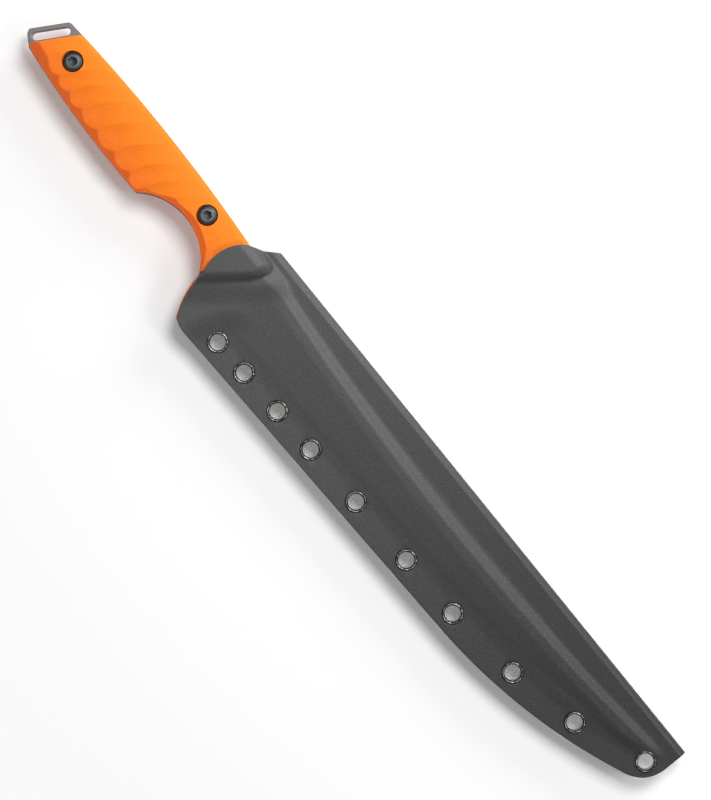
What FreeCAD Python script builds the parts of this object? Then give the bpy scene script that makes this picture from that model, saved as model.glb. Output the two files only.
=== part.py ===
"""A fixed-blade knife in a folded thermoplastic sheath, lying on its back face.

Every outline is drawn from one datum: x runs from the sheath's mouth towards the point of the blade,
y is 0 at the folded edge of the sheath and negative towards the cutting edge, and z is 0 at the middle
of the blade's thickness. Each finished piece is then placed so that the part stands on z = 0 and is
centred in x and y.
"""

import FreeCAD, Part
import os
import re

import Sketcher
from FreeCAD import Vector

SIZES = (
    ("blade_reach", 231.0, "datum to the point of the blade"),
    ("heel_x", 8.0, "datum to the heel, where the cutting edge begins"),
    ("blade_stock", 3.0, "thickness of the steel bar"),
    ("point_stock", 1.2, "thickness of the spine at the point"),
    ("spine_flat", 4.0, "width left unground along the spine"),
    ("edge_bevel", 0.8, "width of the sharpened bevel"),
    ("edge_shoulder", 0.5, "thickness behind the sharpened bevel"),
    ("edge_land", 0.06, "thickness of the sharpened edge itself"),
    ("point_width", 0.4, "height of the blunted point"),
    ("sag_drop", 14.8, "lowest drop of the hollow spine below the fold"),
    ("sag_share", 0.49, "where along the cutting edge the spine is lowest"),
    ("sag_rise", 6.4, "rise of the spine from its lowest place to the point"),
    ("heel_drop", 33.2, "drop of the cutting edge at the heel"),
    ("edge_slant", 6.2, "even rise of the cutting edge over its length"),
    ("belly_power", 5.0, "how late the belly of the edge turns up"),
    ("grip_reach", 125.0, "datum to the end of the steel butt"),
    ("butt_back_x", 117.2, "datum to the upper corner of the butt"),
    ("butt_back_drop", 6.9, "drop of that corner"),
    ("butt_tip_drop", 20.4, "drop of the butt's rearmost corner"),
    ("butt_chin_x", 124.2, "datum to the butt's lower corner"),
    ("butt_chin_drop", 22.0, "drop of the butt's lower corner"),
    ("crown_x", 68.0, "datum to the highest place of the grip's back"),
    ("crown_drop", 4.9, "drop of the grip's back there"),
    ("nape_x", 10.0, "datum to where the back turns down to the blade"),
    ("nape_drop", 7.2, "drop of the back there"),
    ("belly_end_x", 119.6, "datum to the rear end of the grip's belly"),
    ("belly_end_drop", 25.0, "drop of the belly's rear end"),
    ("belly_mid_x", 88.0, "datum to the middle of the belly"),
    ("belly_mid_drop", 27.85, "drop of the belly's middle"),
    ("choil_rear_x", 51.8, "datum to the rear corner of the finger choil"),
    ("choil_rear_drop", 28.05, "drop of that corner"),
    ("choil_top_x", 32.0, "datum to the deepest place of the choil"),
    ("choil_top_drop", 19.45, "drop of the choil's deepest place"),
    ("choil_front_x", 13.2, "datum to the front end of the choil"),
    ("choil_front_drop", 28.6, "drop of the choil's front end"),
    ("guard_rear_x", 10.8, "datum to the middle of the guard's rear edge"),
    ("guard_rear_drop", 36.6, "drop of that place"),
    ("guard_toe_x", 6.5, "datum to where the guard's tip begins"),
    ("guard_toe_drop", 44.6, "drop of that place"),
    ("guard_tip_x", 4.1, "datum to the guard's tip"),
    ("guard_tip_drop", 46.2, "drop of the guard's tip"),
    ("guard_nose_x", 2.4, "datum to the front of the guard's tip"),
    ("guard_nose_drop", 44.4, "drop of the front of the guard's tip"),
    ("guard_front_x", 1.0, "how far the guard's root lies past the datum"),
    ("scale_front_x", 5.0, "how far the scales reach past the datum"),
    ("slot_length", 14.6, "lanyard slot, end to end"),
    ("slot_width", 3.1, "lanyard slot, across"),
    ("slot_x", 118.2, "datum to the middle of the lanyard slot"),
    ("slot_drop", 15.2, "drop of the middle of the lanyard slot"),
    ("scale_stock", 5.4, "thickness of each handle scale"),
    ("butt_bare", 6.0, "bare steel between the scales and the butt's end"),
    ("tongue_stock", 1.2, "thickness of the scale where it covers the guard"),
    ("ledge_top_x", 1.2, "how far the thick grip reaches past the datum"),
    ("ledge_top_drop", 11.0, "drop where the grip's front slants back"),
    ("ledge_low_x", 15.0, "datum to the lower end of the slanting front"),
    ("ledge_low_drop", 30.3, "drop of the lower end of the slanting front"),
    ("back_round", 2.2, "rounding along the grip's back"),
    ("belly_chamfer", 2.6, "chamfer along the grip's belly"),
    ("flute_count", 8.0, "scallops across each scale"),
    ("flute_pitch", 9.4, "spacing of the scallops along the grip"),
    ("flute_first_x", 54.0, "datum to the foremost scallop at the grip's middle"),
    ("flute_mid_drop", 17.0, "drop of the grip's middle"),
    ("flute_depth", 0.55, "depth of a scallop"),
    ("flute_radius", 17.0, "radius of a scallop"),
    ("flute_slant", 57.0, "slant of the scallops from the grip's length, degrees"),
    ("front_bolt_x", 28.1, "datum to the front handle bolt"),
    ("front_bolt_drop", 12.6, "drop of the front handle bolt"),
    ("rear_bolt_x", 104.3, "datum to the rear handle bolt"),
    ("rear_bolt_drop", 15.5, "drop of the rear handle bolt"),
    ("head_diameter", 7.6, "handle bolt head"),
    ("head_height", 2.2, "height of a bolt head"),
    ("head_rim", 0.9, "height of the head's upright rim"),
    ("head_crown", 5.0, "diameter of the head's flat crown"),
    ("head_sink", 0.4, "how deep the head lies below the scale"),
    ("head_gap", 0.3, "gap all round the head"),
    ("barrel_diameter", 6.35, "threaded barrel of the handle bolt"),
    ("barrel_gap", 0.08, "gap all round the barrel"),
    ("barrel_short", 1.0, "how far the barrel stops short of the other head"),
    ("thread_diameter", 4.1, "screw shank"),
    ("thread_gap", 0.05, "gap all round the shank"),
    ("thread_grip", 5.3, "length of the shank under its head"),
    ("thread_spare", 1.5, "bore left below the shank's end"),
    ("socket_flats", 3.18, "hexagon socket, across its flats"),
    ("socket_depth", 1.5, "depth of the socket"),
    ("sheet_stock", 2.0, "thickness of the thermoplastic sheet"),
    ("seam_gap", 0.2, "gap between the two layers at the riveted seam"),
    ("knife_gap", 0.3, "gap between the knife and the sheet"),
    ("fold_slack", 0.1, "extra room in the fold"),
    ("heel_relief", 0.1, "extra room round the heel of the blade"),
    ("channel_run", 4.0, "width over which the sheet drops from the spine"),
    ("seam_start", 1.7, "width over which the sheet closes below the edge"),
    ("point_seam_start", 1.2, "the same at the point"),
    ("toe_reach", 10.0, "sheath past the point of the blade"),
    ("toe_flat", 11.0, "straight part of the sheath's end"),
    ("toe_shoulder_x", 2.4, "sheath's end to the middle of its lower corner"),
    ("toe_shoulder_drop", 17.9, "drop of the middle of that corner"),
    ("toe_heel_x", 9.5, "sheath's end to the start of its lower corner"),
    ("toe_mid_x", 46.0, "sheath's end to the middle of the toe curve"),
    ("toe_start_x", 91.0, "sheath's end to the start of the toe curve"),
    ("seam_at_mouth", 13.9, "seam width below the edge at the mouth"),
    ("seam_at_toe", 14.8, "seam width below the edge along the toe curve"),
    ("seam_at_point", 14.3, "seam width below the point"),
    ("mouth_corner_x", 1.0, "how far the straight edge starts past the datum"),
    ("mouth_round_x", 3.4, "datum to the middle of the mouth's lower corner"),
    ("mouth_round_rise", 0.5, "rise of the middle of that corner"),
    ("mouth_low_x", 6.1, "datum to the lower end of the mouth's edge"),
    ("mouth_low_rise", 2.2, "rise of that end"),
    ("lip_mid_x", 10.0, "datum to the mouth's edge at the guard"),
    ("lip_mid_drop", 37.6, "drop of the mouth's edge at the guard"),
    ("lip_low_x", 12.0, "datum to the lower end of the mouth's tongue"),
    ("lip_low_drop", 27.4, "drop of that end"),
    ("lip_reach", 14.3, "datum to the end of the mouth's tongue"),
    ("lip_reach_drop", 18.4, "drop of the tongue's end"),
    ("lip_high_x", 10.0, "datum to the upper end of the tongue"),
    ("lip_high_drop", 8.0, "drop of that end"),
    ("mouth_notch", 4.4, "corner cut off beside the fold"),
    ("block_round", 2.2, "outer rounding of the moulded handle pocket"),
    ("rivet_inset", 7.25, "rivet centres above the sheath's lower edge"),
    ("rivet_1_x", 11.0, "datum to the first rivet"),
    ("rivet_2_x", 26.1, "datum to the second rivet"),
    ("rivet_pitch", 19.05, "standard pitch from the second rivet to the fourth"),
    ("rivet_5_share", 0.23, "fifth rivet, between the fourth and the eighth"),
    ("rivet_6_share", 0.486, "sixth rivet, between the fourth and the eighth"),
    ("rivet_7_share", 0.722, "seventh rivet, between the fourth and the eighth"),
    ("rivet_8_x", 64.2, "sheath's end to the eighth rivet"),
    ("rivet_9_x", 35.0, "sheath's end to the ninth rivet"),
    ("rivet_10_x", 6.8, "sheath's end to the last rivet"),
    ("rivet_10_rise", 4.9, "last rivet below the point of the blade"),
    ("rivet_bore", 6.0, "open bore of a hollow rivet"),
    ("rivet_wall", 0.4, "wall of a hollow rivet"),
    ("rivet_flange", 8.1, "rolled flange of a hollow rivet"),
    ("rivet_roll", 0.7, "height of the rolled flange"),
    ("rivet_gap", 0.05, "gap all round a rivet in the sheet"),
)
# Places along the cutting edge, as shares of its length, where the blade and the sheath are sectioned.
BLADE_SHARES = (0.0, 0.23, 0.49, 0.68, 0.84, 0.93, 1.0)
RIVETS = 10

doc = FreeCAD.newDocument("rigging_knife")
sheet = doc.addObject("Spreadsheet::Sheet", "Sizes")
for row, (alias, value, meaning) in enumerate(SIZES, start=1):
    sheet.set(f"A{row}", meaning)
    sheet.set(f"B{row}", str(value))
    sheet.setAlias(f"B{row}", alias)
doc.recompute()
NAMES = re.compile(r"\b(" + "|".join(alias for alias, _, _ in SIZES) + r")\b")


def bound(text):
    """An expression written with bare size names, as the expression engine wants it."""
    return NAMES.sub(r"Sizes.\1", text)


def amount(text):
    """The number that an expression has now."""
    found = sheet.evalExpression(bound(text))
    return float(getattr(found, "Value", found))


def bind(item, path, text):
    """Ties a property to an expression on the sheet."""
    item.setExpression(path, bound(text))


# ---- places that several pieces share, as expressions -------------------------------------------
EDGE_LENGTH = "(blade_reach - heel_x)"
POINT_DROP = "(sag_drop - sag_rise + point_width)"
SHEATH_END = "(blade_reach + toe_reach)"
HALF_STOCK = "(blade_stock / 2)"
SCALE_FACE = "(blade_stock / 2 + scale_stock)"
GRIP_ROOM = "(blade_stock / 2 + scale_stock + knife_gap)"
GRIP_BLOCK = "(blade_stock / 2 + scale_stock + knife_gap + sheet_stock)"
GUARD_ROOM = "(blade_stock / 2 + tongue_stock + knife_gap)"
GUARD_BLOCK = "(blade_stock / 2 + tongue_stock + knife_gap + sheet_stock)"
STOCK_ROOM = "(blade_stock / 2 + knife_gap + heel_relief)"
STOCK_BLOCK = "(blade_stock / 2 + knife_gap + heel_relief + sheet_stock)"
SEAM_FACE = "(sheet_stock + seam_gap / 2)"
FOLD_ROOM = "(point_stock / 2 + knife_gap + fold_slack)"
FOLD_CENTRE = "(point_stock / 2 + knife_gap + fold_slack + sheet_stock)"
MOUTH_DROP = "(heel_drop + seam_at_mouth)"
OUTER_DROP = "(heel_drop + seam_at_mouth + 5)"
WALL = "(knife_gap + sheet_stock)"


def station(share):
    """x of a place along the cutting edge."""
    return f"(heel_x + {share} * {EDGE_LENGTH})"


def share_at(x):
    """The share of the cutting edge at x."""
    return f"(({x} - heel_x) / {EDGE_LENGTH})"


def spine_drop(share):
    return f"(sag_drop - sag_rise * (({share} - sag_share) / (1 - sag_share))^2)"


def edge_drop(share):
    late = f"(heel_drop - edge_slant - {POINT_DROP})"
    return f"(heel_drop - edge_slant * {share} - {late} * ({share})^belly_power)"


def back_drop(x):
    """Drop of the straight back between the grip's nape and the blade's heel, at x."""
    return f"(nape_drop + ({spine_drop(0)} - nape_drop) * ({x} + nape_x) / (heel_x + nape_x))"


def half_spine(share):
    """Half the spine's thickness, which tapers evenly from heel to point."""
    return f"(blade_stock / 2 - (blade_stock - point_stock) / 2 * {share})"


def seam_drop(x):
    """Drop of the sheath's straight lower edge at x."""
    start = f"({SHEATH_END} - toe_start_x)"
    toe = f"({edge_drop(share_at(start))} + seam_at_toe)"
    return f"({MOUTH_DROP} + ({toe} - {MOUTH_DROP}) * ({x} - mouth_corner_x) / ({start} - mouth_corner_x))"


def toe_drop(x):
    """Drop of the sheath's lower edge at x along the toe curve."""
    return f"({edge_drop(share_at(x))} + seam_at_toe)"


def place(item, x="0", y="0", z="0"):
    """Puts a piece drawn from the datum where the part stands, moved by x, y and z."""
    bind(item, ".Placement.Base.x", f"{x} - ({SHEATH_END} - grip_reach) / 2")
    bind(item, ".Placement.Base.y", f"{y} + {MOUTH_DROP} / 2")
    bind(item, ".Placement.Base.z", f"{z} + {GRIP_BLOCK}")


# ---- sketching ----------------------------------------------------------------------------------
def new_body(label):
    body = doc.addObject("PartDesign::Body", label)
    body.Label = label
    return body


def sketch_on(body, role, name, offset=None):
    """A sketch on one of the body's own planes, lifted along the plane's normal by offset."""
    sketch = body.newObject("Sketcher::SketchObject", name)
    plane = next(f for f in body.Origin.OriginFeatures if f.Role == role)
    sketch.AttachmentSupport = [(plane, "")]
    sketch.MapMode = "FlatFace"
    if offset:
        bind(sketch, ".AttachmentOffset.Base.z", offset)
    return sketch


def pin_point(sketch, geometry, end, x, y):
    """Fixes one point of a sketch at two expressions, measured from its origin."""
    for kind, text in (("DistanceX", x), ("DistanceY", y)):
        fixed = Sketcher.Constraint(kind, -1, 1, geometry, end, amount(text))
        bind(sketch, f"Constraints[{sketch.addConstraint(fixed)}]", text)


def draw(sketch, points):
    """A closed profile. A point is (x, y), or (x, y, via_x, via_y) where an arc through via leads to it."""
    spots = [Vector(amount(p[0]), amount(p[1]), 0) for p in points]
    ends = []
    for i, point in enumerate(points):
        start = spots[i - 1]
        if len(point) == 2:
            curve = sketch.addGeometry(Part.LineSegment(start, spots[i]))
        else:
            via = Vector(amount(point[2]), amount(point[3]), 0)
            curve = sketch.addGeometry(Part.Arc(start, via, spots[i]))
            mark = sketch.addGeometry(Part.Point(via), True)
            sketch.addConstraint(Sketcher.Constraint("PointOnObject", mark, 1, curve))
            pin_point(sketch, mark, 1, point[2], point[3])
        forward = sketch.getPoint(curve, 1).distanceToPoint(start) < 1e-6
        ends.append((curve, 1 if forward else 2, 2 if forward else 1))
    for i, point in enumerate(points):
        curve, _, last = ends[i]
        following, first, _ = ends[(i + 1) % len(ends)]
        sketch.addConstraint(Sketcher.Constraint("Coincident", curve, last, following, first))
        pin_point(sketch, curve, last, point[0], point[1])


def draw_circle(sketch, x, y, radius):
    centre = Vector(amount(x), amount(y), 0)
    circle = sketch.addGeometry(Part.Circle(centre, Vector(0, 0, 1), amount(radius)))
    pin_point(sketch, circle, 3, x, y)
    fixed = Sketcher.Constraint("Radius", circle, amount(radius))
    bind(sketch, f"Constraints[{sketch.addConstraint(fixed)}]", radius)


def pad(body, sketch, length, both_ways=False, reverse=False):
    feature = body.newObject("PartDesign::Pad", sketch.Name + "_pad")
    feature.Profile = sketch
    bind(feature, "Length", length)
    feature.Midplane = both_ways
    feature.Reversed = reverse
    doc.recompute()
    return feature


def cut_through(body, sketch, upward=None):
    """Cuts a sketch right through: both ways, or only above its plane, or only below it."""
    before = body.Shape.Volume
    feature = body.newObject("PartDesign::Pocket", sketch.Name + "_cut")
    feature.Profile = sketch
    feature.Type = "ThroughAll"
    feature.Midplane = upward is None
    feature.Reversed = bool(upward)
    doc.recompute()
    if body.Shape.Volume > before - 1e-6:
        raise RuntimeError(f"{feature.Name} cuts nothing from {body.Label}")
    return feature


def dress(body, kind, prop, text, wanted):
    """A fillet or chamfer on the edges of the body's tip whose middle point is wanted."""
    tip = body.Tip
    names = []
    for i, edge in enumerate(tip.Shape.Edges, start=1):
        middle = edge.valueAt((edge.FirstParameter + edge.LastParameter) / 2)
        if wanted(middle):
            names.append(f"Edge{i}")
    feature = body.newObject(f"PartDesign::{kind}", f"{body.Name}_{kind}")
    feature.Base = (tip, names)
    bind(feature, prop, text)
    doc.recompute()
    return feature


# ---- the knife ----------------------------------------------------------------------------------
def grip_points():
    """The lower outline of tang and scales, from the guard's front round the choil to the butt."""
    return [
        ("guard_front_x", "-heel_drop"),
        ("-guard_nose_x", "-guard_nose_drop"),
        ("-guard_toe_x", "-guard_toe_drop", "-guard_tip_x", "-guard_tip_drop"),
        ("-choil_front_x", "-choil_front_drop", "-guard_rear_x", "-guard_rear_drop"),
        ("-choil_rear_x", "-choil_rear_drop", "-choil_top_x", "-choil_top_drop"),
        ("-belly_end_x", "-belly_end_drop", "-belly_mid_x", "-belly_mid_drop"),
        ("-butt_chin_x", "-butt_chin_drop"),
        ("-grip_reach", "-butt_tip_drop"),
        ("-butt_back_x", "-butt_back_drop"),
        ("-nape_x", "-nape_drop", "-crown_x", "-crown_drop"),
    ]


def blade_section(share):
    """A hexagon-like section of the ground blade: spine, flats, grind and sharpened bevel."""
    half = half_spine(share)
    spine = f"-{spine_drop(share)}"
    edge = f"-{edge_drop(share)}"
    fade = f"(1 - ({share})^8)"
    ground = f"({spine} - spine_flat * {fade} - 0.1 * point_width)"
    bevel = f"({edge} + edge_bevel * {fade} + 0.3 * point_width)"
    upper = [(spine, half), (ground, half), (bevel, "edge_shoulder / 2"), (edge, "edge_land / 2")]
    return upper + [(y, f"-({z})") for y, z in reversed(upper)]


def make_blade():
    """One bar of steel: full tang with its bare butt, guard, and the hollow-backed, flat-ground blade."""
    body = new_body("blade")
    outline = sketch_on(body, "XY_Plane", "tang_outline")
    draw(outline, [("heel_x", f"-{spine_drop(0)}"), ("heel_x", "-heel_drop")] + grip_points())
    pad(body, outline, "blade_stock", both_ways=True)
    sections = []
    for i, share in enumerate(BLADE_SHARES):
        section = sketch_on(body, "YZ_Plane", f"blade_section_{i}", station(share))
        draw(section, blade_section(share))
        sections.append(section)
    loft = body.newObject("PartDesign::AdditiveLoft", "ground_blade")
    loft.Profile = sections[0]
    loft.Sections = sections[1:]
    doc.recompute()
    slot = sketch_on(body, "XY_Plane", "lanyard_slot")
    draw_slot(slot)
    cut_through(body, slot)
    bores = sketch_on(body, "XY_Plane", "tang_bores")
    for x, y in BOLTS:
        draw_circle(bores, x, y, "barrel_diameter / 2 + barrel_gap")
    cut_through(body, bores)
    place(body)
    return body


BUTT_RUN = "(grip_reach - butt_back_x)"
BUTT_FALL = "(butt_tip_drop - butt_back_drop)"
BUTT_EDGE = f"sqrt({BUTT_RUN}^2 + {BUTT_FALL}^2)"
BOLTS = (
    ("-front_bolt_x", "-front_bolt_drop"),
    ("-rear_bolt_x", "-rear_bolt_drop"),
)


def along_butt(x, y, along, across):
    """A point measured from (x, y) along the butt's slanting end and square to it, towards the blade."""
    east = f"({x} + ({across} * {BUTT_FALL} - {along} * {BUTT_RUN}) / {BUTT_EDGE})"
    north = f"({y} - ({across} * {BUTT_RUN} + {along} * {BUTT_FALL}) / {BUTT_EDGE})"
    return east, north


def draw_slot(sketch):
    """A slot with half-round ends, parallel to the butt's end."""

    def spot(along, across):
        return along_butt("-slot_x", "-slot_drop", along, across)

    straight = "((slot_length - slot_width) / 2)"
    end, half = "(slot_length / 2)", "(slot_width / 2)"
    draw(
        sketch,
        [
            spot(straight, half),
            spot(straight, f"-{half}") + spot(end, "0"),
            spot(f"-{straight}", f"-{half}"),
            spot(f"-{straight}", half) + spot(f"-{end}", "0"),
        ],
    )


def make_scale(label, side):
    """A handle scale: thick grip, thin tongue over the guard, rounded back, chamfered belly, scallops."""
    body = new_body(label)
    sign = "" if side > 0 else "-"
    outward = side > 0
    outline = sketch_on(body, "XY_Plane", f"{label}_outline", f"{sign}{HALF_STOCK}")
    front = [("scale_front_x", f"-{back_drop('scale_front_x')}"), ("scale_front_x", "-(heel_drop - 6)")]
    draw(outline, front + grip_points())
    pad(body, outline, "scale_stock", reverse=not outward)
    bare = sketch_on(body, "XY_Plane", f"{label}_bare_butt")
    draw(
        bare,
        [
            along_butt("-butt_back_x", "-butt_back_drop", "-20", "butt_bare"),
            along_butt("-butt_back_x", "-butt_back_drop", "40", "butt_bare"),
            along_butt("-butt_back_x", "-butt_back_drop", "40", "-20"),
            along_butt("-butt_back_x", "-butt_back_drop", "-20", "-20"),
        ],
    )
    cut_through(body, bare)
    face = side * amount(SCALE_FACE)
    rear, nape = -amount("butt_back_x"), -amount("choil_front_x")
    middle = -amount("flute_mid_drop")

    def on_back(p):
        return abs(p.z - face) < 1e-4 and p.y > middle and rear < p.x < nape and p.y > -amount("slot_drop") + 4

    def on_belly(p):
        return abs(p.z - face) < 1e-4 and p.x < nape and p.y < -amount("choil_top_drop") + 0.1 and p.x > -amount("belly_end_x") + 4

    dress(body, "Fillet", "Radius", "back_round", on_back)
    dress(body, "Chamfer", "Size", "belly_chamfer", on_belly)
    step = sketch_on(body, "XY_Plane", f"{label}_step", f"{sign}({HALF_STOCK} + tongue_stock)")
    draw(
        step,
        [
            ("ledge_top_x", "10"),
            ("ledge_top_x", "-ledge_top_drop"),
            ("-ledge_low_x", "-ledge_low_drop"),
            ("-ledge_low_x", f"-{OUTER_DROP}"),
            ("heel_x + 10", f"-{OUTER_DROP}"),
            ("heel_x + 10", "10"),
        ],
    )
    cut_through(body, step, upward=outward)
    cut_flutes(body, label, side)
    bores = sketch_on(body, "XY_Plane", f"{label}_bores")
    seats = sketch_on(body, "XY_Plane", f"{label}_seats", f"{sign}{HEAD_SEAT}")
    for x, y in BOLTS:
        draw_circle(bores, x, y, "barrel_diameter / 2 + barrel_gap")
        draw_circle(seats, x, y, "head_diameter / 2 + head_gap")
    cut_through(body, bores)
    cut_through(body, seats, upward=outward)
    place(body)
    return body


HEAD_SEAT = f"({SCALE_FACE} - head_sink - head_height)"


def cut_flutes(body, label, side):
    """Shallow round scallops, slanting across the scale at an even pitch."""
    sketch = sketch_on(body, "YZ_Plane", f"{label}_flute")
    bind(sketch, ".AttachmentOffset.Base.x", "-flute_mid_drop")
    bind(sketch, ".AttachmentOffset.Base.z", "-flute_first_x")
    sketch.AttachmentOffset = FreeCAD.Placement(
        sketch.AttachmentOffset.Base, FreeCAD.Rotation(Vector(0, 1, 0), amount("flute_slant"))
    )
    bind(sketch, ".AttachmentOffset.Rotation.Angle", "flute_slant")
    rise = f"{side} * ({SCALE_FACE} - flute_depth + flute_radius)"
    draw_circle(sketch, "0", rise, "flute_radius")
    first = cut_through(body, sketch)
    pattern = body.newObject("PartDesign::LinearPattern", f"{label}_flutes")
    pattern.Originals = [first]
    axis = next(f for f in body.Origin.OriginFeatures if f.Role == "X_Axis")
    pattern.Direction = (axis, [""])
    pattern.Reversed = True
    bind(pattern, "Length", "flute_pitch * (flute_count - 1)")
    pattern.Occurrences = round(amount("flute_count"))
    body.Tip = pattern
    doc.recompute()


def hexagon(sketch, flats):
    """A regular hexagon about the origin, by its width across the flats."""
    half = f"({flats} / 2)"
    corner = f"({flats} / 2 / cos(30))"
    mid = f"({flats} / 4 / cos(30))"
    draw(
        sketch,
        [(corner, "0"), (mid, half), (f"-{mid}", half), (f"-{corner}", "0"), (f"-{mid}", f"-{half}"), (mid, f"-{half}")],
    )


def make_bolt_half(label, side, bolt, profile):
    """One half of a handle bolt, revolved about its axis, with a hexagon socket in its head."""
    body = new_body(label)
    section = sketch_on(body, "XZ_Plane", f"{label}_section")
    draw(section, [(x, f"{side} * ({z})") for x, z in profile])
    turned = body.newObject("PartDesign::Revolution", f"{label}_turned")
    turned.Profile = section
    turned.ReferenceAxis = (section, ["V_Axis"])
    turned.Angle = 360
    doc.recompute()
    floor = f"{side} * ({HEAD_SEAT} + head_height - socket_depth)"
    socket = sketch_on(body, "XY_Plane", f"{label}_socket", floor)
    hexagon(socket, "socket_flats")
    cut_through(body, socket, upward=side > 0)
    place(body, *bolt)
    return body


def head_profile():
    """The head, from its seat up the rim and over the crown."""
    return [
        ("head_diameter / 2", HEAD_SEAT),
        ("head_diameter / 2", f"{HEAD_SEAT} + head_rim"),
        ("head_crown / 2", f"{HEAD_SEAT} + head_height"),
        ("0", f"{HEAD_SEAT} + head_height"),
    ]


def make_screw(label, bolt):
    """The male half, in the front scale."""
    tip = f"{HEAD_SEAT} - thread_grip"
    shank = [("0", tip), ("thread_diameter / 2", tip), ("thread_diameter / 2", HEAD_SEAT)]
    return make_bolt_half(label, 1, bolt, head_profile() + shank)


def make_post(label, bolt):
    """The female half, in the back scale: a barrel right through the tang, with a blind bore."""
    end = f"-({HEAD_SEAT} - barrel_short)"
    floor = f"-({HEAD_SEAT} - thread_grip - thread_spare)"
    bore = "thread_diameter / 2 + thread_gap"
    barrel = [("0", floor), (bore, floor), (bore, end), ("barrel_diameter / 2", end), ("barrel_diameter / 2", HEAD_SEAT)]
    return make_bolt_half(label, -1, bolt, head_profile() + barrel)


# ---- the sheath ---------------------------------------------------------------------------------
def shell_sections(body, name, section_points):
    """Sections from behind the mouth to past the sheath's end, lofted into one solid."""
    places = [("-lip_reach - 3", 0.0)]
    places += [(station(share), share) for share in BLADE_SHARES]
    places += [(f"{SHEATH_END} + 3", None)]
    sections = []
    for i, (x, share) in enumerate(places):
        section = sketch_on(body, "YZ_Plane", f"{name}_{i}", x)
        draw(section, section_points(share))
        sections.append(section)
    loft = body.newObject("PartDesign::AdditiveLoft", name)
    loft.Profile = sections[0]
    loft.Sections = sections[1:]
    doc.recompute()


def across(share):
    """The drops that shape a section: below the channel, spine, grind, edge, and the closed seam."""
    if share is None:
        spine, edge, close = f"({spine_drop(1)} - 0.6)", f"({POINT_DROP} + 0.2)", "point_seam_start"
        flat = "0.2"
    else:
        spine, edge = spine_drop(share), edge_drop(share)
        close = f"(seam_start + (point_seam_start - seam_start) * {share})"
        flat = f"((spine_flat + knife_gap) * (1 - ({share})^8) + 0.1 * point_width)"
    return spine, flat, edge, close


def folded(radius, heights):
    """A closed section, symmetric about the blade: a round fold, then down one layer and up the other."""
    turn = f"({FOLD_CENTRE})"
    lower = [(f"-{y}", f"-({z})") for y, z in reversed(heights)]
    upper = [(f"-{y}", z) for y, z in heights]
    first = (f"-{turn}", radius, f"-{turn} + {radius}", "0")
    return [first] + upper + lower + [(f"-{turn}", f"-{radius}")]


def press_section(share):
    """Outside of the pressed sheet: fold, channel, spine shoulder, grind, edge and flat seam."""
    spine, flat, edge, close = across(share)
    half = "point_stock / 2" if share is None else half_spine(share)
    radius = FOLD_CENTRE
    return folded(
        radius,
        [
            (f"({spine} - channel_run * 0.9)", f"{radius}"),
            (f"({spine} - 0.2)", f"{half} + {WALL}"),
            (f"({spine} + {flat})", f"{half} + {WALL}"),
            (f"({edge} + 0.2)", f"edge_shoulder / 2 + {WALL} - 0.1"),
            (f"({edge} + {close})", SEAM_FACE),
            (OUTER_DROP, SEAM_FACE),
        ],
    )


def room_section(share):
    """Inside of the pressed sheet, with the knife's gap all round and a thin parting along the seam."""
    spine, flat, edge, close = across(share)
    half = "point_stock / 2" if share is None else half_spine(share)
    radius = FOLD_ROOM
    return folded(
        radius,
        [
            (f"({spine} - channel_run)", f"{radius}"),
            (f"({spine} - 0.6)", f"{half} + knife_gap"),
            (f"({spine} + {flat})", f"{half} + knife_gap"),
            (f"({edge} + 0.1)", "edge_shoulder / 2 + knife_gap"),
            (f"({edge} + 0.9 * {close})", "seam_gap / 2"),
            (f"({OUTER_DROP} + 2)", "seam_gap / 2"),
        ],
    )


def block(name, points, half_height):
    """A plan outline padded the same height to both sides of the blade."""
    body = new_body(name)
    outline = sketch_on(body, "XY_Plane", f"{name}_outline")
    draw(outline, points)
    pad(body, outline, f"2 * {half_height}", both_ways=True)
    return body


def ledge_line(gap):
    """Front of the thick grip's pocket, at a gap from the grip: its top, its knee and its lower end."""
    run = "(ledge_low_x + ledge_top_x)"
    fall = "(ledge_low_drop - ledge_top_drop)"
    length = f"sqrt({run}^2 + {fall}^2)"
    east, south = f"({gap} * {fall} / {length})", f"({gap} * {run} / {length})"
    knee = (f"(ledge_top_x + {gap})", f"-(ledge_top_drop + {gap} * ({length} - {fall}) / {run})")
    beyond = "0.4"
    low = (
        f"-ledge_low_x + {east} - {beyond} * {run}",
        f"-(ledge_low_drop + {south} + {beyond} * {fall})",
    )
    return knee, low


def grip_pocket(name, gap, half_height):
    """Room or outer form of the pocket over the thick grip, open past the sheath's mouth."""
    knee, low = ledge_line(gap)
    rear = "-(lip_reach + 8)"
    top = f"-(nape_drop - {gap})"
    points = [
        (rear, f"-(crown_drop - {gap})"),
        ("-nape_x", top),
        (knee[0], f"-({back_drop(knee[0])} - {gap})"),
        knee,
        low,
        (rear, low[1]),
    ]
    return block(name, points, half_height)


def round_front(body, half_height, radius):
    """Rounds the upper and lower rims of a pocket's form along its fold side and its slanting front."""
    top, rear, low = amount(half_height), -amount("lip_reach") - 7, -amount("ledge_low_drop") - 6

    def on_rim(p):
        return abs(abs(p.z) - top) < 1e-4 and p.x > rear and p.y > low

    dress(body, "Fillet", "Radius", radius, on_rim)
    return body


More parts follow.
